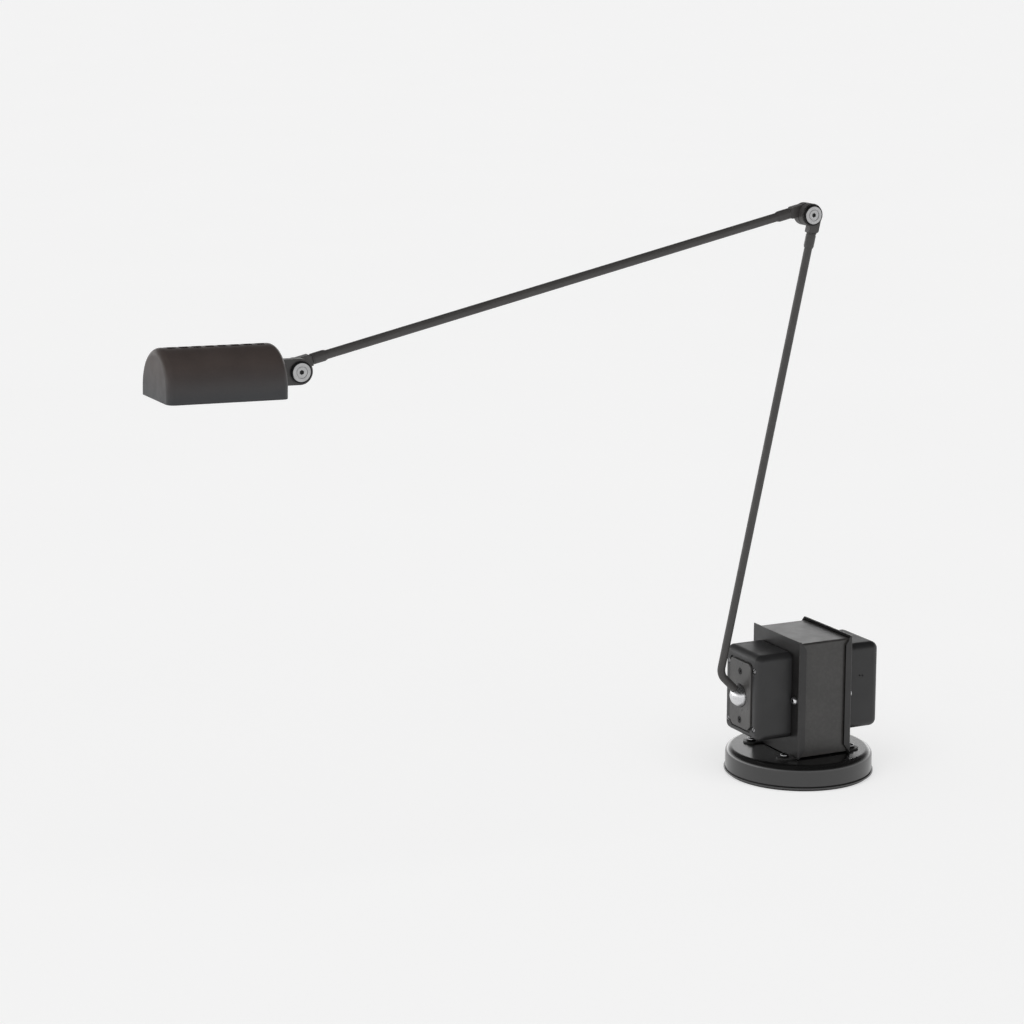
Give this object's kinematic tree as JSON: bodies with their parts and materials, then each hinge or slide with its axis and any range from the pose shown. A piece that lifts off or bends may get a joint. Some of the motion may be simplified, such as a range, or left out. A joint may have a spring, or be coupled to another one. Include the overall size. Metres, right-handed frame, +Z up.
{
  "type": "architect desk lamp",
  "caption": "Low-voltage desk lamp: a round weighted base carries a transformer with end caps, from which a bent lower arm and a long upper arm reach to a small tunnel-shaped shade.",
  "frame": {"origin": "centre of the base's underside, on the surface it stands on", "axes": "+Z up; X along the transformer and the plane of the arms, with the lamp head towards -X; -Y is the front of the transformer cover"},
  "size_m": [0.5653, 0.113, 0.4305],
  "materials": {
    "base_gloss": "gloss black enamel",
    "ballast_iron": "as cast",
    "foot_pad": "fine textured",
    "frame_paint": "satin dark grey",
    "cap_plastic": "moulded, fine grain",
    "plate_paint": "satin",
    "arm_paint": "fine matte powder coat",
    "shade_paint": "soft satin",
    "bright_steel": "satin plated",
    "black_steel": "blackened",
    "core_steel": "laminated sheet",
    "bobbin_plastic": "natural",
    "copper_wire": "enamelled",
    "nylon": "natural",
    "terminal_brass": "plain",
    "ceramic": "unglazed",
    "bulb_quartz": "clear",
    "tungsten": "wire",
    "reflector_alu": "bright anodised",
    "rocker_plastic": "polished",
    "soft_rubber": "matte",
    "lead_jacket": "smooth"
  },
  "bodies": {
    "base": {"base_cover": "base_gloss", "base_ballast": "ballast_iron", "base_pad": "foot_pad", "foot_washers": "black_steel", "foot_screws": "bright_steel", "end_frame_right": "frame_paint", "end_frame_left": "frame_paint", "transformer_cover": "frame_paint", "transformer_core": "core_steel", "coil_bobbin": "bobbin_plastic", "primary_winding": "copper_wire", "secondary_winding": "copper_wire", "clamp_bolts": "bright_steel", "clamp_nuts": "bright_steel", "left_end_cap": "cap_plastic", "left_cap_screws": "bright_steel", "arm_plate": "plate_paint", "arm_plate_screws": "black_steel", "ball_socket": "nylon", "socket_plate": "bright_steel", "right_end_cap": "cap_plastic", "right_cap_screws": "bright_steel", "switch_body": "rocker_plastic", "terminal_block": "nylon", "terminal_screws": "terminal_brass", "thermal_fuse": "bobbin_plastic", "cord_grommet": "soft_rubber"},
    "rocker": {"switch_rocker": "rocker_plastic"},
    "lower_arm": {"pivot_ball": "bright_steel", "axle_spring": "bright_steel", "axle_nut": "bright_steel", "lower_arm_tube": "arm_paint", "lower_arm_leads": "lead_jacket", "lower_arm_hub": "arm_paint", "lower_arm_ferrule": "arm_paint", "elbow_screw": "bright_steel", "elbow_cup": "black_steel", "elbow_washer": "nylon", "elbow_nut": "bright_steel"},
    "upper_arm": {"upper_arm_tube": "arm_paint", "upper_arm_leads": "lead_jacket", "upper_elbow_hub": "arm_paint", "upper_elbow_ferrule": "arm_paint", "upper_head_hub": "arm_paint", "upper_head_ferrule": "arm_paint"},
    "head": {"shade": "shade_paint", "shade_bracket": "arm_paint", "reflector": "reflector_alu", "reflector_clips": "bright_steel", "clip_screws": "bright_steel", "lamp_holder": "ceramic", "holder_screws": "bright_steel", "bulb_glass": "bulb_quartz", "bulb_pins": "bright_steel", "bulb_filament": "tungsten", "head_screw": "bright_steel", "head_cup": "black_steel", "head_washer": "nylon", "head_nut": "bright_steel"}
  },
  "joints": [
    {"name": "arm_swing", "type": "hinge", "parent": "base", "child": "lower_arm", "pos_m": [-0.05125, 0, 0.0652], "axis": [1, 0, 0], "range_deg": [-75, 75]},
    {"name": "elbow", "type": "hinge", "parent": "lower_arm", "child": "upper_arm", "pos_m": [0.00075, 0, 0.4222], "axis": [0, 1, 0], "range_deg": [-30, 90]},
    {"name": "head_tilt", "type": "hinge", "parent": "upper_arm", "child": "head", "pos_m": [-0.40325, 0, 0.336], "axis": [0, 1, 0], "range_deg": [-80, 80]},
    {"name": "switch_rock", "type": "hinge", "parent": "base", "child": "rocker", "pos_m": [0.05135, 0, 0.076], "axis": [0, -1, 0], "range_deg": [0, 18]}
  ]
}
